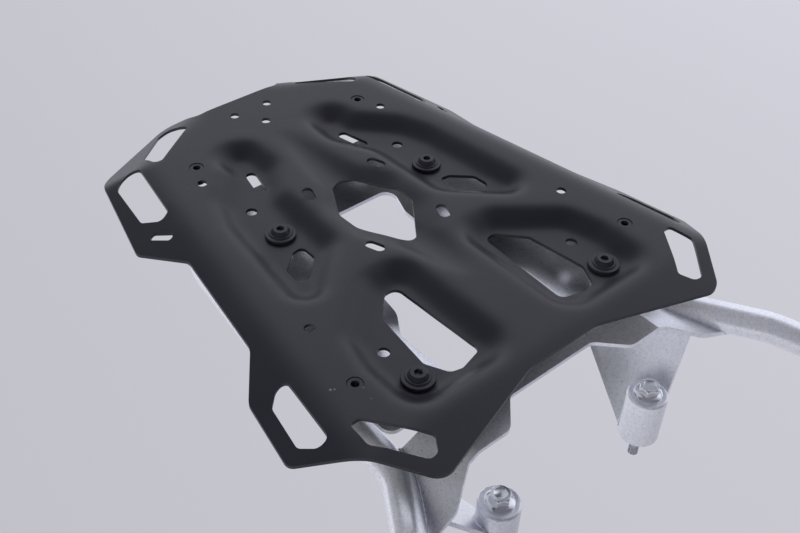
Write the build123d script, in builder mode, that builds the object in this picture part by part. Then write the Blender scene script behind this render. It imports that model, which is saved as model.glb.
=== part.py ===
from build123d import *
import math
import os

# Motorcycle luggage rack: a die-formed load plate on four screws and spacers,
# over a welded silver carrier of sheet, bent tube, two gusset legs and two bosses.
# +Z up, +Y towards the rear of the motorcycle, the rack is symmetric about X = 0.
# The origin is midway between the two boss bolts, on the seat under the bosses.

# Where the plate's datum stands: its raised level, midway between the screw pairs
deck_forward = 147.5
deck_height = 115.0

# Load plate: pressed sheet with four pockets, a dished centre and sloping edges
sheet = 2.5
pocket_depth = 9.8
rear_wall_angle = 41.0
front_wall_angle = 45.0
pocket_fillet = 9.0
pocket_rim_fillet = 14.0
basin_depth = 9.0
basin_angle = 21.0
basin_fillet = 14.0

# Slopes of the load plate: how steep, where each bend line passes and how it turns
bend_radius = 32.0
side_slope_angle = 32.7
side_bend_x = 122.3
side_bend_y = 90.0
side_bend_turn = 9.15
corner_slope_angle = 33.4
corner_bend_x = 41.0
corner_bend_y = 234.6
corner_bend_turn = 28.3
nose_slope_angle = 12.5
nose_bend_y = -115.0

# Valleys along the middle of the load plate, which deepen towards the dish
valley_radius = 25.0
valley_fillet = 10.0
rear_valley_start = 178.0
rear_valley_end = 102.0
rear_valley_depth = 7.0
front_valley_start = -40.0
front_valley_end = 17.0
front_valley_depth = 8.0
valley_overrun = 32.0

# Holes in the load plate
accessory_hole = 7.4
insert_hole = 10.8
floor_hole = 8.4
oblong_width = 8.2
oblong_length = 15.0
oblong_tilt = 20.0
long_slot_length = 27.0
long_slot_tilt = 13.0

# The four plate screws, their seats and what is under them
rear_screw_x = 68.7
front_screw_x = 85.4
screw_y = 82.0
screw_radius = 4.0
screw_hole_radius = 4.4
screw_head_radius = 7.0
screw_head_height = 2.8
screw_head_taper = 35.0
socket_flats = 5.0
socket_depth = 2.0
washer_radius = 11.0
washer_thickness = 2.6
washer_step_radius = 8.2
washer_step = 1.0
spacer_radius = 8.0
spacer_length = 15.7
nut_flats = 13.0
nut_height = 8.0
nut_flange_radius = 8.9
nut_flange = 1.8
screw_tip = 2.0

# Threaded inserts in the load plate
insert_flange_radius = 6.6
insert_flange = 0.9
insert_recess = 0.5
insert_bore_radius = 2.6
insert_length = 13.0

# Carrier sheet: a flat frame and two ears that bend down along lines at ear_bend_x
carrier_thickness = 3.0
carrier_half_width = 117.0
carrier_rear = 160.0
ear_bend_x = 84.0
ear_slope = 23.7
ear_rear = -98.0
ear_relief = 5.0

# Grab rail: one bent tube, seen from above as a loop that opens forwards
rail_radius = 11.0
rail_wall = 2.0
rail_half_width = 121.5
rail_rear = 148.0
rail_neck_level = -47.5
rail_elbow_level = -56.0
rail_end_level = -84.0

# Bosses, their bolts and the legs that rise outwards from them to the rail
boss_x = 72.0
boss_radius = 14.25
boss_length = 40.0
boss_chamfer = 1.2
leg_thickness = 3.0
leg_foot_height = 11.8
leg_top_x = 126.5
leg_top_level = -50.0
leg_front_reach = 9.5
leg_rear_reach = 120.0
leg_inset = 2.5
bolt_radius = 4.0
bolt_shank_radius = 3.5
bolt_hole_radius = 4.3
bolt_flats = 13.0
bolt_head_height = 8.6
bolt_flange_radius = 10.0
bolt_flange = 1.8
bolt_below_seat = 22.0

# Rail lugs
lug_thickness = 6.0
lug_length = 34.0
lug_radius = 11.0
lug_hole_radius = 4.3
lug_plug_length = 16.0
fit_gap = 0.1

# Levels below the load plate's raised level, from the top down
deck = Plane((0, deck_forward, deck_height))
floor_top = -pocket_depth
floor_under = floor_top - sheet
carrier_top = floor_under - spacer_length
carrier_under = carrier_top - carrier_thickness
rail_level = carrier_under - rail_radius
os.makedirs("parts", exist_ok=True)


def mirrored(points):
    return [(-x, y) for x, y in points]


def outline(points, radii):
    """A closed outline with one corner radius for each point."""
    with BuildSketch(mode=Mode.PRIVATE) as shape:
        with BuildLine():
            FilletPolyline(*points, radius=radii, close=True)
        make_face()
    return shape.sketch


def both_sides(points, radii):
    """The outline of a feature and of its mirror image."""
    return outline(points, radii) + outline(mirrored(points), radii)


def both_halves(points, radii):
    """One outline across the middle, from its right half."""
    return outline(points + mirrored(points)[::-1], radii + radii[::-1])


def oblong(x, y, length, tilt):
    """An oblong hole and its mirror image, tilted from the Y axis by an angle."""
    with BuildSketch(mode=Mode.PRIVATE) as shape:
        with Locations(Pos(x, y) * Rot(0, 0, 90 + tilt), Pos(-x, y) * Rot(0, 0, 90 - tilt)):
            SlotOverall(length, oblong_width)
    return shape.sketch


def level_edges(candidates, level):
    """Those edges that lie at one height against the plate's raised level."""
    height = deck_height + level
    return candidates.filter_by_position(Axis.Z, height - 0.01, height + 0.01)


def slope_plane(x, y, turn, angle):
    """A plane that falls at an angle from a level bend line through a point of the deck."""
    along = Vector(1, 0, 0).rotate(Axis.Z, turn)
    normal = Vector(0, 0, 1).rotate(Axis((0, 0, 0), along), angle)
    return Plane(deck.from_local_coords(Vector(x, y, 0)), x_dir=along, z_dir=normal)


def raised(place, level):
    """A level plane over a place (x, y) of the deck, at a height against its raised level."""
    return Plane(deck.from_local_coords(Vector(*place, level)))


# Outline of the load plate, right half, from the rear centre round to the front
plate_half = [(38, 234.5), (57, 257), (129, 229), (150.5, 141), (134.5, 97), (149.7, 3),
              (172, -26), (182, -79), (125, -150), (48, -128), (30, -123)]
plate_radii = [10, 12, 25, 12, 14, 14, 12, 10, 14, 30, 30]

# Floors of the pockets, right half, and of the dished centre
rear_floor = [(35, 175), (34, 148), (52, 116), (55, 50), (93, 15), (98, 23), (88, 105),
              (80, 128), (52, 157), (51, 175)]
rear_floor_radii = [7, 12, 19, 8, 5, 5, 20, 12, 20, 7]
front_floor = [(32, -4), (32, -97), (101, -97), (101, -60), (95, -36), (54, -4)]
front_floor_radii = [9, 12, 9, 20, 9, 12]
basin_floor = [(0, 92), (13, 74), (13, 47), (0, 20), (-13, 47), (-13, 74)]
basin_floor_radii = [4, 8, 8, 4, 8, 8]

# Cut-outs in the load plate, right half: points and corner radii
cut_outs = {
    "rear strap slot": ([(52, 226), (59, 246), (68, 246), (98, 218), (97, 195)], [3, 6, 8, 8, 5]),
    "side strap slot": ([(107.5, 209.5), (127.5, 209), (134.5, 160), (126, 145), (118.5, 147.5)],
                        [7, 9, 6, 5, 3]),
    "small strap slot": ([(127, 128), (131, 123.5), (139, 140.5), (135, 144)], [2.5, 2.5, 2.5, 2.5]),
    "front side slot": ([(150.5, -35), (158, -35), (166, -42), (172.3, -75.5), (165.5, -87),
                         (158, -87)], [4, 6, 7, 6, 6, 4]),
    "front corner slot": ([(138, -90), (145.5, -90), (147, -108.5), (124, -136), (117, -135),
                           (111, -125)], [4, 3, 6, 6, 6, 3]),
    "front window": ([(41, -10), (51, -10), (68, -28), (74, -74), (66, -90), (57, -92), (37.6, -87)],
                     [6, 5, 6, 6, 6, 5, 6]),
    "rear window": ([(64.2, 63), (73.5, 61.7), (88.1, 48.9), (89, 36.8), (84.1, 31.3), (78.6, 34.7),
                     (64.1, 49.2)], [4, 4, 5, 4, 3, 3, 4]),
}
centre_hole = [(0, 104), (10, 98), (27, 68), (26, 50), (0, 15), (-26, 50), (-27, 68), (-10, 98)]
centre_hole_radii = [6, 8, 9, 9, 6, 9, 9, 8]

# Oblong holes (x, y, length, tilt), right half
oblong_holes = [
    (31.7, 98, oblong_length, oblong_tilt),
    (31.6, 23.4, oblong_length, -oblong_tilt),
    (46.3, 143.3, long_slot_length, long_slot_tilt),
]

# Holes (x, y, radius), right half; the plate screws stand on the pocket floors
insert_places = {"rear": (76.6, 175.3), "front": (123, -67.4)}
screw_pairs = {"rear": (rear_screw_x, screw_y), "front": (front_screw_x, -screw_y)}
screw_places = [(side * x, y) for x, y in screw_pairs.values() for side in (-1, 1)]
hole_places = (
    [(x, y, accessory_hole / 2) for x, y in ((15.4, 215.4), (0, 194.9), (84.4, 155.8), (115.4, -13.1))]
    + [(x, y, floor_hole / 2) for x, y in ((69, 116.6), (86.7, -51.1))]
    + [(x, y, insert_hole / 2) for x, y in insert_places.values()]
    + [(x, y, screw_hole_radius) for x, y in screw_pairs.values()]
)

# The die: a block larger than the plate, whose top has the form that the sheet is pressed to
die_half = 200.0
die_rear = 270.0
die_front = -160.0
die_low = -70.0
die_margin = 1.0

with BuildPart() as die:
    with BuildSketch(deck):
        with BuildLine():
            Polyline((-die_half, die_front), (die_half, die_front), (die_half, die_rear),
                     (-die_half, die_rear), close=True)
        make_face()
    extrude(amount=die_low)
    # Slopes: side strips, rear corner strips and the nose
    for side in (-1, 1):
        for x, y, turn, angle in (
            (side_bend_x, side_bend_y, 90 + side_bend_turn, side_slope_angle),
            (corner_bend_x, corner_bend_y, -corner_bend_turn, -corner_slope_angle),
        ):
            split(bisect_by=slope_plane(side * x, y, side * turn, angle), keep=Keep.BOTTOM)
    split(bisect_by=slope_plane(0, nose_bend_y, 0, nose_slope_angle), keep=Keep.BOTTOM)
    # Soft bends between the slopes and the raised level, before anything is pressed in
    fillet(level_edges(edges(), 0), radius=bend_radius)
    # Pockets: drafted walls, filleted where they meet the floor and softer at the raised level
    for floor, radii, wall_angle in (
        (rear_floor, rear_floor_radii, rear_wall_angle),
        (front_floor, front_floor_radii, front_wall_angle),
    ):
        with BuildSketch(deck.offset(floor_top)):
            add(both_sides(floor, radii))
        extrude(amount=pocket_depth + die_margin, taper=wall_angle - 90, mode=Mode.SUBTRACT)
        pocket_edges = edges(Select.LAST)
        fillet(level_edges(pocket_edges, floor_top), radius=pocket_fillet)
        fillet(level_edges(edges(), 0).filter_by(lambda edge: edge in pocket_edges), radius=pocket_rim_fillet)
    # Dished centre: falls towards the hole at a shallow angle, with a soft crest
    with BuildSketch(deck.offset(-basin_depth)):
        add(outline(basin_floor, basin_floor_radii))
    extrude(amount=basin_depth + die_margin, taper=basin_angle - 90, mode=Mode.SUBTRACT)
    fillet(level_edges(edges(Select.LAST), 0), radius=basin_fillet)
    # Two valleys run into the dish along the middle: round cuts whose axes fall towards it
    for start, end, depth in (
        (rear_valley_start, rear_valley_end, rear_valley_depth),
        (front_valley_start, front_valley_end, front_valley_depth),
    ):
        run = end - start
        fall = math.atan2(depth, abs(run))
        along = Vector(0, math.copysign(math.cos(fall), run), -math.sin(fall))
        up = Vector(0, math.copysign(math.sin(fall), run), math.cos(fall))
        axis_start = deck.from_local_coords(Vector(0, start, 0)) + up * valley_radius
        with BuildSketch(Plane(axis_start - along * valley_overrun, x_dir=(1, 0, 0), z_dir=along)):
            Circle(valley_radius)
        extrude(amount=abs(run) + 2 * valley_overrun, mode=Mode.SUBTRACT)
        fillet(level_edges(edges(Select.LAST), 0), radius=valley_fillet)

with BuildSketch() as plate_outline:
    add(both_halves(plate_half, plate_radii))
    for points, radii in cut_outs.values():
        add(both_sides(points, radii), mode=Mode.SUBTRACT)
    add(outline(centre_hole, centre_hole_radii), mode=Mode.SUBTRACT)
    for x, y, length, tilt in oblong_holes:
        add(oblong(x, y, length, tilt), mode=Mode.SUBTRACT)
    for x, y, radius in hole_places:
        with Locations((x, y), (-x, y)):
            Circle(radius, mode=Mode.SUBTRACT)

# The sheet lies between the die and the same die moved down by its thickness
with BuildPart() as load_plate:
    add(die.part)
    add(die.part.moved(Location((0, 0, -sheet))), mode=Mode.SUBTRACT)
    with BuildSketch(deck.offset(die_low)):
        add(plate_outline.sketch)
    extrude(amount=-2 * die_low, mode=Mode.INTERSECT)
load_plate.part.label = "load_plate"
export_step(load_plate.part, "parts/load_plate.step")

# Grab rail: straight runs joined by arcs, from the left end round the rear to the right
rail_right = [(105, rail_rear, rail_level), (112.5, 100, rail_level), (rail_half_width, 35, rail_level),
              (rail_half_width, -60, rail_level), (rail_half_width, -106, rail_neck_level),
              (164.8, -175, rail_neck_level), (184, -206, rail_elbow_level), (196, -232, rail_end_level)]
rail_radii = [42, 150, 150, 120, 50, 60, 30]
rail_left = [(-x, y, z) for x, y, z in rail_right]
with BuildPart() as rail_space:
    with BuildLine(deck) as rail_path:
        FilletPolyline(*rail_left[::-1], *rail_right, radius=rail_radii[::-1] + rail_radii)
    rail_end = Plane(rail_path.line @ 0, z_dir=rail_path.line % 0)
    with BuildSketch(rail_end):
        Circle(rail_radius)
    sweep(path=rail_path.line)
with BuildPart() as grab_rail:
    add(rail_space.part)
    with BuildSketch(rail_end):
        Circle(rail_radius - rail_wall)
    sweep(path=rail_path.line, mode=Mode.SUBTRACT)
grab_rail.part.label = "grab_rail"
export_step(grab_rail.part, "parts/grab_rail.step")

# Carrier sheet, right half of the flat, of its opening and of an ear as seen from above
flat_front = -136
flat_half = [(38, -116.5), (57, flat_front), (ear_bend_x, flat_front), (ear_bend_x, ear_rear + ear_relief),
             (carrier_half_width, ear_rear + ear_relief), (carrier_half_width, 60), (110, 112),
             (100, carrier_rear)]
flat_radii = [8, 10, 0.5, 2, 8, 30, 30, 15]
opening_half = [(40, 95), (41, 84), (34, 66), (33.5, 50), (44, -15), (56, -33), (56, -72), (42, -92)]
opening_radii = [8, 4, 12, 20, 20, 10, 12, 12]
ear = [(ear_bend_x, flat_front), (92.5, -136.5), (117, -152.5), (134, -154), (152, -154),
       (rail_half_width, -108), (rail_half_width, ear_rear), (ear_bend_x, ear_rear)]
ear_radii = [0, 6, 10, 7, 0, 0, 0, 0]
ear_fall = math.radians(ear_slope)
with BuildPart() as carrier_sheet:
    with BuildSketch(deck.offset(carrier_top)):
        add(both_halves(flat_half, flat_radii))
        add(both_halves(opening_half, opening_radii), mode=Mode.SUBTRACT)
        with Locations(*screw_places):
            Circle(screw_hole_radius, mode=Mode.SUBTRACT)
    extrude(amount=-carrier_thickness)
    for side in (-1, 1):
        ear_plane = Plane(
            deck.from_local_coords(Vector(side * ear_bend_x, 0, carrier_top)),
            x_dir=(side * math.cos(ear_fall), 0, -math.sin(ear_fall)),
            z_dir=(side * math.sin(ear_fall), 0, math.cos(ear_fall)),
        )
        with BuildSketch(ear_plane):
            add(outline([((x - ear_bend_x) / math.cos(ear_fall), side * y) for x, y in ear], ear_radii))
        extrude(amount=-carrier_thickness)
    add(rail_space.part, mode=Mode.SUBTRACT)
carrier_sheet.part.label = "carrier_sheet"
export_step(carrier_sheet.part, "parts/carrier_sheet.step")

# Bosses: thick-walled tubes that stand on the motorcycle
for name, side in (("left", -1), ("right", 1)):
    with BuildPart() as boss:
        with Locations((side * boss_x, 0)):
            Cylinder(boss_radius, boss_length, align=(Align.CENTER, Align.CENTER, Align.MIN))
            chamfer(boss.edges().sort_by(Axis.Z)[-1], length=boss_chamfer)
            Hole(bolt_hole_radius)
    boss.part.label = "boss_" + name
    export_step(boss.part, "parts/boss_" + name + ".step")

# Boss bolts: flange head on the boss, a reduced shank inside it and the thread below its seat
with BuildPart() as boss_bolts:
    for side in (-1, 1):
        with BuildSketch(Plane((side * boss_x, 0, -bolt_below_seat))):
            Circle(bolt_radius)
        extrude(amount=bolt_below_seat)
        with BuildSketch(Plane((side * boss_x, 0, 0))):
            Circle(bolt_shank_radius)
        extrude(amount=boss_length)
        with BuildSketch(Plane((side * boss_x, 0, boss_length))):
            Circle(bolt_flange_radius)
        extrude(amount=bolt_flange)
        with BuildSketch(Plane((side * boss_x, 0, boss_length + bolt_flange))):
            RegularPolygon(bolt_flats / 2, 6, major_radius=False)
        extrude(amount=bolt_head_height - bolt_flange)
boss_bolts.part.label = "boss_bolts"
export_step(boss_bolts.part, "parts/boss_bolts.step")

# Legs: gusset plates that rise outwards from the bosses to the rail and the ears.
# In a leg's own plane u runs up the slope from the boss axis and v runs rearwards.
leg_top_z = deck_height + leg_top_level
lean = math.atan2(leg_top_z - leg_foot_height, leg_top_x - boss_x)
leg_run = (leg_top_x - boss_x) / math.cos(lean)
leg_corner_u = 0.75 * leg_run
leg_outline = [(-boss_radius + leg_inset, boss_radius - leg_inset), (0, -boss_radius + leg_inset),
               (boss_radius, -boss_radius / 2), (leg_run, leg_front_reach),
               (leg_run, leg_rear_reach), (leg_corner_u, leg_rear_reach)]
leg_radii = [0, 0, 6, 0, 0, 18]
for name, side in (("left", -1), ("right", 1)):
    leg_plane = Plane(
        (side * boss_x, 0, leg_foot_height),
        x_dir=(side * math.cos(lean), 0, math.sin(lean)),
        z_dir=(-side * math.sin(lean), 0, math.cos(lean)),
    )
    with BuildPart() as leg:
        with BuildSketch(leg_plane):
            add(outline([(u, side * v) for u, v in leg_outline], leg_radii))
        extrude(amount=-leg_thickness)
        add(rail_space.part, mode=Mode.SUBTRACT)
        add(carrier_sheet.part, mode=Mode.SUBTRACT)
        with Locations((side * boss_x, 0, 0)):
            Cylinder(boss_radius, boss_length, align=(Align.CENTER, Align.CENTER, Align.MIN), mode=Mode.SUBTRACT)
    leg.part.label = "leg_" + name
    export_step(leg.part, "parts/leg_" + name + ".step")

# Lugs: a plug in each open end of the rail with a drilled tongue for the frame bolt
for name, at, sense in (("left", 0, -1), ("right", 1, 1)):
    end_point = rail_path.line @ at
    outward = (rail_path.line % at) * sense
    level_side = outward.cross(Vector(0, 0, 1)).normalized()
    with BuildPart() as lug:
        with BuildSketch(Plane(end_point - outward * lug_plug_length, z_dir=outward)):
            Circle(rail_radius - rail_wall - fit_gap)
        extrude(amount=lug_plug_length)
        with BuildSketch(Plane(end_point, x_dir=outward, z_dir=level_side)):
            with Locations(((lug_length - lug_radius) / 2, 0)):
                Rectangle(lug_length - lug_radius, 2 * lug_radius)
            with Locations((lug_length - lug_radius, 0)):
                Circle(lug_radius)
                Circle(lug_hole_radius, mode=Mode.SUBTRACT)
        extrude(amount=lug_thickness / 2, both=True)
    lug.part.label = "rail_lug_" + name
    export_step(lug.part, "parts/rail_lug_" + name + ".step")

# Plate fasteners, from the top down: screw, stepped washer, plate, spacer, carrier, flange nut
seat = floor_top + washer_thickness + washer_step
nut_under = carrier_under - nut_height
for pair, (x, y) in screw_pairs.items():
    places = [(-x, y), (x, y)]
    with BuildPart() as screws:
        for place in places:
            with BuildSketch(raised(place, nut_under - screw_tip)):
                Circle(screw_radius)
            extrude(amount=seat - nut_under + screw_tip)
            with BuildSketch(raised(place, seat)):
                Circle(screw_head_radius)
            extrude(amount=screw_head_height, taper=screw_head_taper)
            with BuildSketch(raised(place, seat + screw_head_height - socket_depth)):
                RegularPolygon(socket_flats / 2, 6, major_radius=False)
            extrude(amount=socket_depth, mode=Mode.SUBTRACT)
    screws.part.label = "plate_screws_" + pair
    export_step(screws.part, "parts/plate_screws_" + pair + ".step")
    with BuildPart() as washers:
        for place in places:
            for level, radius, height in (
                (floor_top, washer_radius, washer_thickness),
                (floor_top + washer_thickness, washer_step_radius, washer_step),
            ):
                with BuildSketch(raised(place, level)):
                    Circle(radius)
                    Circle(screw_hole_radius, mode=Mode.SUBTRACT)
                extrude(amount=height)
    washers.part.label = "stepped_washers_" + pair
    export_step(washers.part, "parts/stepped_washers_" + pair + ".step")
    with BuildPart() as spacers:
        for place in places:
            with BuildSketch(raised(place, carrier_top)):
                Circle(spacer_radius)
                Circle(screw_hole_radius, mode=Mode.SUBTRACT)
            extrude(amount=spacer_length)
    spacers.part.label = "spacers_" + pair
    export_step(spacers.part, "parts/spacers_" + pair + ".step")
    with BuildPart() as nuts:
        for place in places:
            with BuildSketch(raised(place, carrier_under - nut_flange)):
                Circle(nut_flange_radius)
                Circle(screw_radius, mode=Mode.SUBTRACT)
            extrude(amount=nut_flange)
            with BuildSketch(raised(place, nut_under)):
                RegularPolygon(nut_flats / 2, 6, major_radius=False)
                Circle(screw_radius, mode=Mode.SUBTRACT)
            extrude(amount=nut_height - nut_flange)
    nuts.part.label = "flange_nuts_" + pair
    export_step(nuts.part, "parts/flange_nuts_" + pair + ".step")

# Threaded inserts: flush with the top of the load plate, held by a flange under the sheet
for pair, (x, y) in insert_places.items():
    with BuildPart() as inserts:
        for place in ((-x, y), (x, y)):
            with BuildSketch(raised(place, -insert_length)):
                Circle(insert_hole / 2)
                Circle(insert_bore_radius, mode=Mode.SUBTRACT)
            extrude(amount=insert_length - insert_recess)
            with BuildSketch(raised(place, -sheet - insert_flange)):
                Circle(insert_flange_radius)
                Circle(insert_bore_radius, mode=Mode.SUBTRACT)
            extrude(amount=insert_flange)
    inserts.part.label = "threaded_inserts_" + pair
    export_step(inserts.part, "parts/threaded_inserts_" + pair + ".step")
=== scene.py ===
import math

import bmesh
import bpy
import numpy as np
from mathutils import Matrix, Vector
from mathutils.bvhtree import BVHTree
from mathutils.geometry import delaunay_2d_cdt


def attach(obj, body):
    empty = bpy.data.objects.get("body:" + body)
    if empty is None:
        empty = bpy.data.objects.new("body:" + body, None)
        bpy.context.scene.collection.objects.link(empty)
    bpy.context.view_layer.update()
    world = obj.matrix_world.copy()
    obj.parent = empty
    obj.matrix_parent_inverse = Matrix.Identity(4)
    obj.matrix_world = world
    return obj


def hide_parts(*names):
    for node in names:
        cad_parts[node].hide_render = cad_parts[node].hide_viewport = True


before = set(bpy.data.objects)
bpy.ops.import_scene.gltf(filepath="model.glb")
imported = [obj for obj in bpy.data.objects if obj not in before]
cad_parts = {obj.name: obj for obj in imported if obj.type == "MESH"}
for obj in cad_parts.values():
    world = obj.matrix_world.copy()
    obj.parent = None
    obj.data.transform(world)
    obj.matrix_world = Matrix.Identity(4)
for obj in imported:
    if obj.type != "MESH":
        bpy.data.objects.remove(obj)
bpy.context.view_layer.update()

# Camera, floor and lamps
# The camera stands before the rack, to its left and above it, and looks back over the plate.
# The floor is one large pale sheet far below the rack, under a broad soft sky and two lamps. It mostly glows with its
# own colour, with painted light in it: dimmer to the left, brighter to the right, and brighter still where its far
# part is seen in reflections.
view_azimuth = math.radians(-42.5)
view_elevation = math.radians(40.7)
view_roll = math.radians(2.5)
view_from = Vector((-0.4060, -0.2637, 0.5902))
away = Vector((math.sin(view_azimuth) * math.cos(view_elevation),
               -math.cos(view_azimuth) * math.cos(view_elevation), math.sin(view_elevation)))
level_right = (-away).cross(Vector((0, 0, 1))).normalized()
facing = Matrix((level_right, away.cross(level_right), away)).transposed()
camera_data = bpy.data.cameras.new("camera")
camera_data.lens = 49.11
camera_data.sensor_width = 36
camera = bpy.data.objects.new("camera", camera_data)
camera.matrix_world = Matrix.Translation(view_from) @ (facing @ Matrix.Rotation(view_roll, 3, "Z")).to_4x4()
bpy.context.scene.collection.objects.link(camera)
bpy.context.scene.camera = camera
bpy.context.scene.view_settings.view_transform = "Standard"


class Value:
    """One output of a shader node. Arithmetic on it adds Math nodes to its material."""

    def __init__(self, tree, socket):
        self.tree = tree
        self.socket = socket

    def math(self, operation, *values, clamp=False):
        node = self.tree.nodes.new("ShaderNodeMath")
        node.operation = operation
        node.use_clamp = clamp
        for socket, value in zip(node.inputs, values):
            if isinstance(value, Value):
                self.tree.links.new(value.socket, socket)
            else:
                socket.default_value = value
        return Value(self.tree, node.outputs[0])

    def __add__(self, other):
        return self.math("ADD", self, other)

    def __sub__(self, other):
        return self.math("SUBTRACT", self, other)

    def __rsub__(self, other):
        return self.math("SUBTRACT", other, self)

    def __mul__(self, other):
        return self.math("MULTIPLY", self, other)

    __radd__ = __add__
    __rmul__ = __mul__

    def or_more(self, other):
        """The larger of two values."""
        return self.math("MAXIMUM", self, other)

    def between(self, low, high):
        """0 below low, 1 above high and a straight ramp in between."""
        return self.math("MULTIPLY", self - low, 1 / (high - low), clamp=True)


class Finish:
    """Shader nodes under construction: a procedural material, or the light of the world."""

    def __init__(self, owner, shader="Principled BSDF", coordinates="Object"):
        owner.use_nodes = True
        self.owner = owner
        self.tree = owner.node_tree
        self.shader = self.tree.nodes[shader]
        self.place = self.node("ShaderNodeTexCoord", output=coordinates)

    def node(self, kind, settings=None, values=None, output=0):
        """Adds a node: its settings first, then the values or links of its sockets."""
        node = self.tree.nodes.new(kind)
        for name, setting in (settings or {}).items():
            setattr(node, name, setting)
        self.feed(node, values or {})
        return Value(self.tree, node.outputs[output])

    def feed(self, node, values):
        for name, value in values.items():
            if isinstance(value, Value):
                self.tree.links.new(value.socket, node.inputs[name])
            else:
                node.inputs[name].default_value = value

    def noise(self, scale, detail=2.0, rough=0.5, output="Fac"):
        return self.node("ShaderNodeTexNoise", values={"Vector": self.place, "Scale": scale, "Detail": detail,
                                                       "Roughness": rough}, output=output)

    def vector(self, operation, values, output=0):
        return self.node("ShaderNodeVectorMath", {"operation": operation}, values, output)

    def along(self, direction):
        """How far a point or a direction reaches along another one."""
        return self.vector("DOT_PRODUCT", {0: self.place, 1: direction}, "Value")

    def blend(self, factor, first, second):
        return self.node("ShaderNodeMix", {"data_type": "RGBA"},
                         {"Factor": factor, 6: first, 7: second}, output=2)

    def bump(self, height, distance, strength=1.0):
        return self.node("ShaderNodeBump", values={"Height": height, "Distance": distance, "Strength": strength},
                         output="Normal")

    def done(self, values):
        self.feed(self.shader, values)
        return self.owner


floor_level = -0.32
floor_reach = 6.0
floor_glow_painted_dimmer_left = (0.465, 0.463, 0.505, 1)
floor_glow_painted_brighter_right = (0.755, 0.755, 0.835, 1)
floor_glow_painted_reflection = (1.05, 1.05, 1.15, 1)
floor_shade_lit = (0.35, 0.35, 0.38, 1)
floor_glow = 0.85
near_glow_in_gloss = 0.30
ground = Finish(bpy.data.materials.new("studio_floor"))
camera_ray, glossy_ray, transmission_ray = [
    ground.node("ShaderNodeLightPath", output=name)
    for name in ("Is Camera Ray", "Is Glossy Ray", "Is Transmission Ray")]
# Painted light: the floor's glow runs from a dimmer shade on the left to a brighter one on the right, and where its
# far part is seen in reflections it glows brighter still, as a painted reflection.
painted_reflection_far_part = ground.along((0.67, 0.74, 0)).between(-0.1, 0.7)
painted_light_rightward = ground.along((0.74, -0.05, 0)).between(-1.0, 1.2)
seen = (camera_ray.or_more(transmission_ray)
        + glossy_ray * (near_glow_in_gloss + (1 - near_glow_in_gloss) * painted_reflection_far_part))
floor_glow_with_painted_light = ground.blend(glossy_ray * painted_reflection_far_part,
                           ground.blend(painted_light_rightward, floor_glow_painted_dimmer_left, floor_glow_painted_brighter_right), floor_glow_painted_reflection)
glowing = ground.node("ShaderNodeEmission", values={"Color": floor_glow_with_painted_light, "Strength": 1.0})
lit = ground.node("ShaderNodeBsdfDiffuse", values={"Color": floor_shade_lit})
surface = ground.node("ShaderNodeMixShader", values={0: seen * floor_glow, 1: lit, 2: glowing})
ground.tree.links.new(surface.socket, ground.tree.nodes["Material Output"].inputs["Surface"])
floor_mesh = bpy.data.meshes.new("studio_floor")
floor_mesh.from_pydata([(x * floor_reach, y * floor_reach, floor_level)
                        for x, y in ((-1, -1), (1, -1), (1, 1), (-1, 1))], [], [(0, 1, 2, 3)])
floor_mesh.materials.append(ground.owner)
floor = bpy.data.objects.new("studio_floor", floor_mesh)
bpy.context.scene.collection.objects.link(floor)

# The sky is bright low behind the rack and to its right, and dim elsewhere
sky_dim = (0.11, 0.11, 0.14, 1)
sky_bright = (0.92, 0.94, 1.06, 1)
sky = Finish(bpy.data.worlds.new("studio"), "Background", "Generated")
low_part = 1 - sky.along((0, 0, 1)).between(0.80, 0.95)
right_rear_part = sky.along((0.85, 0.52, 0)).between(0.10, 0.60)
bpy.context.scene.world = sky.done({
    "Color": sky.blend(low_part * right_rear_part, sky_dim, sky_bright),
    "Strength": 1.0,
})
rack_middle = Vector((0, 0.12, 0.1))
for name, place, size, power in (
    ("lamp_behind", Vector((0.7, 1.9, 1.9)), 1.6, 30),
    ("lamp_left", Vector((-2.0, -0.5, 0.75)), 1.0, 50),
):
    lamp_data = bpy.data.lights.new(name, "AREA")
    lamp_data.shape = "DISK"
    lamp_data.size = size
    lamp_data.energy = power
    lamp = bpy.data.objects.new(name, lamp_data)
    lamp.location = place
    lamp.visible_glossy = False
    lamp.rotation_euler = (rack_middle - place).to_track_quat("-Z", "Y").to_euler()
    bpy.context.scene.collection.objects.link(lamp)

# Silver frame: bent tube, carrier sheet, two gusset legs, two bosses and two end lugs
# Mild steel, cut, bent, welded into one frame and sprayed with a satin metallic paint.
# The paint rounds each cut edge a little; it is finely mottled and shows a grain of flakes.
paint_rounding = 0.0006
paint_dull = (0.74, 0.76, 0.845, 1)
paint_light = (0.94, 0.96, 1.0, 1)
paint_flake = (0.97, 0.98, 1.0, 1)
silver = Finish(bpy.data.materials.new("silver_paint"))
flakes = silver.noise(1100, 3, 0.6)
mottle = silver.noise(420, 3, 0.6)
grain = silver.noise(700, 2)
silver_paint = silver.done({
    "Base Color": silver.blend(flakes.between(0.42, 0.62),
                               silver.blend(mottle.between(0.36, 0.64), paint_dull, paint_light), paint_flake),
    "Metallic": 0.72,
    "Roughness": 0.20 + 0.10 * grain + 0.12 * mottle,
    "Normal": silver.bump(grain + 0.5 * flakes, 0.00018, 0.45),
})


def merged(node):
    """The CAD solid of a node with its corners joined."""
    shell = bmesh.new()
    shell.from_mesh(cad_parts[node].data)
    bmesh.ops.remove_doubles(shell, verts=shell.verts, dist=2e-6)
    return shell


def solid_copy(node):
    """A copy of a CAD solid's mesh, with the triangles of its flat faces joined."""
    shell = merged(node)
    bmesh.ops.dissolve_limit(shell, angle_limit=math.radians(0.3), verts=shell.verts, edges=shell.edges)
    mesh = bpy.data.meshes.new(node + "_finished")
    shell.to_mesh(mesh)
    shell.free()
    for attribute in [a for a in mesh.attributes if a.name in ("custom_normal", "sharp_face", "sharp_edge")]:
        mesh.attributes.remove(attribute)
    return mesh


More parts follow.
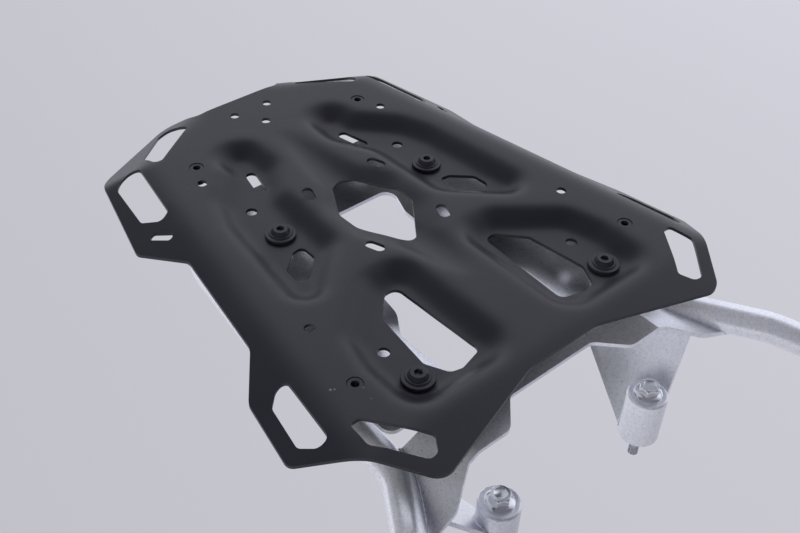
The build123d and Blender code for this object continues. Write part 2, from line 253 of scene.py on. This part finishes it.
def finished(node, material, mesh, rounding=None, crease=35):
    """The visible piece of a CAD node: its mesh with its finish, and its edges rounded past the crease angle."""
    mesh.materials.append(material)
    mesh.shade_smooth()
    mesh.set_sharp_from_angle(angle=math.radians(crease))
    piece = bpy.data.objects.new(node + "_finished", mesh)
    bpy.context.scene.collection.objects.link(piece)
    if rounding:
        edges = piece.modifiers.new("rounded_edges", "BEVEL")
        edges.width = rounding
        edges.segments = 2
        edges.limit_method = "ANGLE"
        edges.angle_limit = math.radians(crease)
        edges.harden_normals = True
    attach(piece, "root")
    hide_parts(node)


for node in ("grab_rail", "carrier_sheet", "leg_left", "leg_right", "boss_left", "boss_right",
             "rail_lug_left", "rail_lug_right"):
    finished(node, silver_paint, solid_copy(node), paint_rounding)

# Weld beads
# Short runs of fused steel along the seams of the frame, painted over with it.
# Each seam is where a plate's edge lies on the piece beside it; the bead is a row of fused drops.
drop_sizes = {"Drop Radius": 0.0013, "Smallest Drop": 0.80, "Largest Drop": 1.15}
drop_seed = 7
drop_spacing = 0.0012
seam_gap = 0.00012
seam_turn = 0.5
level_part_half_width = 0.095
seam_points = []
for plate_node, other_node in (("carrier_sheet", "grab_rail"), ("leg_left", "boss_left"), ("leg_right", "boss_right"),
                               ("leg_left", "grab_rail"), ("leg_right", "grab_rail"),
                               ("leg_left", "carrier_sheet"), ("leg_right", "carrier_sheet")):
    plate_form = merged(plate_node)
    other_form = merged(other_node)
    other_surface = BVHTree.FromBMesh(other_form)
    for edge in plate_form.edges:
        touching = all(other_surface.find_nearest(v.co, seam_gap)[0] is not None for v in edge.verts)
        at_corner = len(edge.link_faces) == 2 and edge.calc_face_angle() > seam_turn
        under_plate = (plate_node == "carrier_sheet"
                       and min(abs(v.co.x) for v in edge.verts) < level_part_half_width)
        if touching and at_corner and not under_plate:
            pieces = max(1, round(edge.calc_length() / drop_spacing))
            seam_points += [edge.verts[0].co.lerp(edge.verts[1].co, k / pieces) for k in range(pieces)]
    plate_form.free()
    other_form.free()
seam_mesh = bpy.data.meshes.new("weld_seams")
seam_mesh.from_pydata(seam_points, [], [])
beads = bpy.data.objects.new("weld_beads", seam_mesh)
bpy.context.scene.collection.objects.link(beads)
bead_tree = bpy.data.node_groups.new("fused_drops", "GeometryNodeTree")
for direction in ("INPUT", "OUTPUT"):
    bead_tree.interface.new_socket("Geometry", in_out=direction, socket_type="NodeSocketGeometry")
size_inputs = {name: bead_tree.interface.new_socket(name, in_out="INPUT", socket_type="NodeSocketFloat").identifier
               for name in drop_sizes}


def bead_node(kind, settings=None, values=None):
    """Adds a node to the bead's tree: its settings first, then the values or links of its sockets."""
    node = bead_tree.nodes.new(kind)
    for name, setting in (settings or {}).items():
        setattr(node, name, setting)
    for name, value in (values or {}).items():
        if isinstance(value, bpy.types.NodeSocket):
            bead_tree.links.new(value, node.inputs[name])
        else:
            node.inputs[name].default_value = value
    return node.outputs[0] if node.outputs else None


seams = bead_tree.nodes.new("NodeGroupInput").outputs
drop = bead_node("GeometryNodeMeshIcoSphere", values={"Radius": seams["Drop Radius"], "Subdivisions": 2})
scales = bead_node("FunctionNodeRandomValue", {"data_type": "FLOAT_VECTOR"},
                   {"Min": seams["Smallest Drop"], "Max": seams["Largest Drop"], "Seed": drop_seed})
drops = bead_node("GeometryNodeInstanceOnPoints",
                  values={"Points": seams["Geometry"], "Instance": drop, "Scale": scales})
solid_drops = bead_node("GeometryNodeRealizeInstances", values={"Geometry": drops})
painted = bead_node("GeometryNodeSetMaterial", values={"Geometry": solid_drops, "Material": silver_paint})
bead_node("NodeGroupOutput", values={"Geometry": painted})
fused = beads.modifiers.new("fused_drops", "NODES")
fused.node_group = bead_tree
for name, size in drop_sizes.items():
    fused[size_inputs[name]] = size
bpy.context.view_layer.update()
bead_mesh = bpy.data.meshes.new_from_object(beads.evaluated_get(bpy.context.evaluated_depsgraph_get()))
beads.modifiers.clear()
beads.data = bead_mesh
bead_mesh.shade_smooth()
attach(beads, "root")

# Load plate
# One blank of sheet steel, pressed between two dies and coated with a fine satin black powder.
# The coat rounds the cut edges; it has chipped in a few small places at the front left.
coat_rounding = 0.0009
coat_crease = 50
coat_dark = (0.0085, 0.0085, 0.0125, 1)
coat_light = (0.0115, 0.0115, 0.016, 1)
bare_steel = (0.10, 0.10, 0.11, 1)
chips = ((-0.1208, 0.0748, 0.0006), (-0.1228, 0.0651, 0.0005), (-0.1371, 0.0857, 0.0011), (-0.1349, 0.0844, 0.0008))
chip_raggedness = 0.0009
black = Finish(bpy.data.materials.new("black_powder_coat"))
peel = black.noise(420, 2, 0.55)
speck = black.noise(2400, 1)
cloud = black.noise(14, 3)
shift = black.vector("SCALE", {0: black.noise(900, output="Color"), "Scale": chip_raggedness})
seen_from_above = black.vector("MULTIPLY", {0: black.vector("ADD", {0: black.place, 1: shift}), 1: (1, 1, 0)})
chipped = 0 * peel
for x, y, reach in chips:
    distance = black.vector("DISTANCE", {0: seen_from_above, 1: (x, y, 0)}, "Value")
    chipped = chipped.or_more(1 - distance.between(0.7 * reach, reach))
black_coat = black.done({
    "Base Color": black.blend(chipped, black.blend(cloud.between(0.25, 0.75), coat_dark, coat_light), bare_steel),
    "Roughness": 0.36 + 0.10 * peel,
    "Normal": black.bump(peel + 0.5 * speck, 0.00014, 0.35),
})
plate_thickness = 0.0025
form_step = 0.0015
form_reach = 0.0036
mesh_step = 0.0023
row_step = 0.87 * mesh_step
rim_margin = 0.0012
pressed = merged("load_plate")
solid = BVHTree.FromBMesh(pressed)
corners = [v.co for v in pressed.verts]
low = Vector([min(c[i] for c in corners) for i in range(3)])
high = Vector([max(c[i] for c in corners) for i in range(3)])


def top_of_plate(x, y):
    """Height of the plate's upper face over a point, or nothing beside it and in its holes."""
    hit = solid.ray_cast(Vector((x, y, high.z + 0.01)), Vector((0, 0, -1)))[0]
    return hit.z if hit else None


# The sheet flows into the die with softer bends: a plane is fitted to the heights about each cell,
# weighted by a bell curve, which also holds right up to the cut edges.
columns = np.arange(low.x - 4 * form_reach, high.x + 4 * form_reach, form_step)
rows = np.arange(low.y - 4 * form_reach, high.y + 4 * form_reach, form_step)
heights = np.array([[top_of_plate(x, y) or np.nan for x in columns] for y in rows])
covered = np.where(np.isnan(heights), 0.0, 1.0)
heights = np.nan_to_num(heights)
bell_cells = 3 * round(form_reach / form_step)
offsets = np.arange(-bell_cells, bell_cells + 1)
bell = np.exp(-0.5 * (offsets * form_step / form_reach) ** 2)


def moment(field, power_x, power_y):
    """Weighted sum of a field about each cell, times powers of the distance from it."""
    for axis, power in ((1, power_x), (0, power_y)):
        kernel = (-offsets.astype(float)) ** power * bell
        field = np.apply_along_axis(np.convolve, axis, field, kernel, "same")
    return field


terms = [(0, 0), (1, 0), (0, 1)]
empty_cell_weight = 1e-6
system = np.array([[moment(covered, a + c, b + d) for c, d in terms] for a, b in terms])
known = np.array([moment(heights, a, b) for a, b in terms])
system = np.moveaxis(system, (0, 1), (2, 3)) + empty_cell_weight * np.eye(3)
soft = np.linalg.solve(system, np.moveaxis(known, 0, 2)[..., None])[..., 0, 0]


def formed_height(x, y):
    """Softened height at a point, between the four cells about it."""
    across = (x - columns[0]) / form_step
    along = (y - rows[0]) / form_step
    i, j = int(along), int(across)
    s, t = along - i, across - j
    value = ((soft[i, j] * (1 - t) + soft[i, j + 1] * t) * (1 - s)
             + (soft[i + 1, j] * (1 - t) + soft[i + 1, j + 1] * t) * s)
    return min(float(value), high.z)


# The upper face seen from above: the cut edges first, then staggered points between them
upright_slope = 0.05
upward_slope = 0.3
points = []
rim = []
numbers = {}
for edge in pressed.edges:
    upright = [abs(face.normal.z) < upright_slope for face in edge.link_faces]
    upward = [face.normal.z > upward_slope for face in edge.link_faces]
    if any(upright) and any(upward):
        pieces = math.ceil(edge.calc_length() / mesh_step)
        chain = []
        for vertex in edge.verts:
            if vertex.index not in numbers:
                numbers[vertex.index] = len(points)
                points.append(vertex.co.to_2d())
            chain.append(numbers[vertex.index])
        between = [edge.verts[0].co.to_2d().lerp(edge.verts[1].co.to_2d(), k / pieces) for k in range(1, pieces)]
        chain[1:1] = range(len(points), len(points) + len(between))
        points += between
        rim += zip(chain, chain[1:])
quarter_turns = (0, 1.57, 3.14, 4.71)
around = [Vector((math.cos(a), math.sin(a))) * rim_margin for a in quarter_turns]
for row, y in enumerate(np.arange(low.y, high.y, row_step)):
    for x in np.arange(low.x + (row % 2) * mesh_step / 2, high.x, mesh_step):
        if all(top_of_plate(x + step.x, y + step.y) for step in around):
            points.append(Vector((x, y)))
constrained = 1
flat, _, triangles, _, _, _ = delaunay_2d_cdt(points, rim, [], constrained, 1e-6)
triangles = [t for t in triangles if top_of_plate(*(sum((flat[k] for k in t), Vector((0, 0))) / 3))]
used = sorted({k for t in triangles for k in t})
number_of = {k: n for n, k in enumerate(used)}
triangles = [[number_of[k] for k in t] for t in triangles]
upper = [(*flat[k], formed_height(*flat[k])) for k in used]
lower = [(x, y, z - plate_thickness) for x, y, z in upper]
sides = {}
for a, b, c in triangles:
    for start, end in ((a, b), (b, c), (c, a)):
        if (end, start) in sides:
            del sides[(end, start)]
        else:
            sides[(start, end)] = True
count = len(upper)
plate_mesh = bpy.data.meshes.new("load_plate_finished")
plate_mesh.from_pydata(upper + lower, [],
                       triangles + [[k + count for k in reversed(t)] for t in triangles]
                       + [(b, a, a + count, b + count) for a, b in sides])
pressed.free()
finished("load_plate", black_coat, plate_mesh, coat_rounding, coat_crease)

# Boss bolts
# Bright zinc flange bolts: a hexagon with turned-off corners and a shallow dish in its top,
# a sloping flange, a plain reduced shank and a rolled thread. Each stands in its boss.
zinc_dull = (0.84, 0.86, 0.88, 1)
zinc_bright = (0.94, 0.95, 0.97, 1)
zinc = Finish(bpy.data.materials.new("bright_zinc"))
zinc_plate = zinc.done({
    "Base Color": zinc.blend(zinc.noise(90, 3), zinc_dull, zinc_bright),
    "Metallic": 0.9,
    "Roughness": 0.12 + 0.10 * zinc.noise(260, 2),
})
bolt_places = (Vector((-0.072, 0, 0)), Vector((0.072, 0, 0)))
ring_points = 48
millimetre = 0.001
thread_pitch = 1.25
thread_turns = 16
thread_start = -21.4
thread_root = 3.45
thread_crest = 3.98
hexagon = 13
bolt_crease = 30

# The bolt's profile from its tip up: radius, height and width across flats, in millimetres
profile = [(3.0, -22.0, None), (3.5, -21.6, None)]
for ridge in range(thread_turns):
    foot = thread_start + ridge * thread_pitch
    profile += [(thread_root, foot, None), (thread_crest, foot + 0.5, None), (thread_crest, foot + 0.7, None),
                (thread_root, foot + 1.15, None)]
profile += [
    (3.5, 0.0, None), (3.5, 40.0, None), (9.7, 40.0, None), (10.0, 40.3, None), (10.0, 41.0, None), (9.7, 41.4, None),
    (7.75, 42.4, None), (7.52, 42.5, hexagon), (7.52, 46.9, hexagon), (7.2, 47.7, hexagon), (6.55, 48.45, hexagon),
    (6.3, 48.6, hexagon), (4.6, 48.6, None), (4.2, 48.2, None), (3.6, 48.0, None)]
corners, faces = [], []
for place in bolt_places:
    first = len(corners)
    for radius, height, flats in profile:
        for k in range(ring_points):
            angle = 2 * math.pi * k / ring_points
            off_flat = (angle + math.pi / 6) % (math.pi / 3) - math.pi / 6
            reach = min(radius, flats / 2 / math.cos(off_flat)) if flats else radius
            corners.append(place + millimetre * Vector((reach * math.cos(angle), reach * math.sin(angle), height)))
    last = len(corners) - ring_points
    for ring in range(first, last, ring_points):
        for k in range(ring_points):
            following = (k + 1) % ring_points
            faces.append((ring + k, ring + following, ring + following + ring_points, ring + k + ring_points))
    faces.append([first + k for k in reversed(range(ring_points))])
    faces.append([last + k for k in range(ring_points)])
bolt_mesh = bpy.data.meshes.new("boss_bolts_finished")
bolt_mesh.from_pydata(corners, [], faces)
finished("boss_bolts", zinc_plate, bolt_mesh, crease=bolt_crease)

# Plate fasteners
# Black stepped washers and low screws with hexagon sockets above the plate, with softly rounded edges;
# bright spacers and flange nuts under it. The threaded inserts in the plate are black too.
black_rounding = 0.0005
bright_rounding = 0.0004
fastener_dark = (0.008, 0.008, 0.011, 1)
fastener_light = (0.013, 0.013, 0.017, 1)
fastener = Finish(bpy.data.materials.new("black_fastener"))
fastener_black = fastener.done({
    "Base Color": fastener.blend(fastener.noise(200, 3), fastener_dark, fastener_light),
    "Roughness": 0.34 + 0.12 * fastener.noise(800, 2),
})
for node in ("plate_screws_front", "plate_screws_rear", "stepped_washers_front", "stepped_washers_rear",
             "threaded_inserts_front", "threaded_inserts_rear"):
    finished(node, fastener_black, solid_copy(node), black_rounding)
for node in ("spacers_front", "spacers_rear", "flange_nuts_front", "flange_nuts_rear"):
    finished(node, zinc_plate, solid_copy(node), bright_rounding)
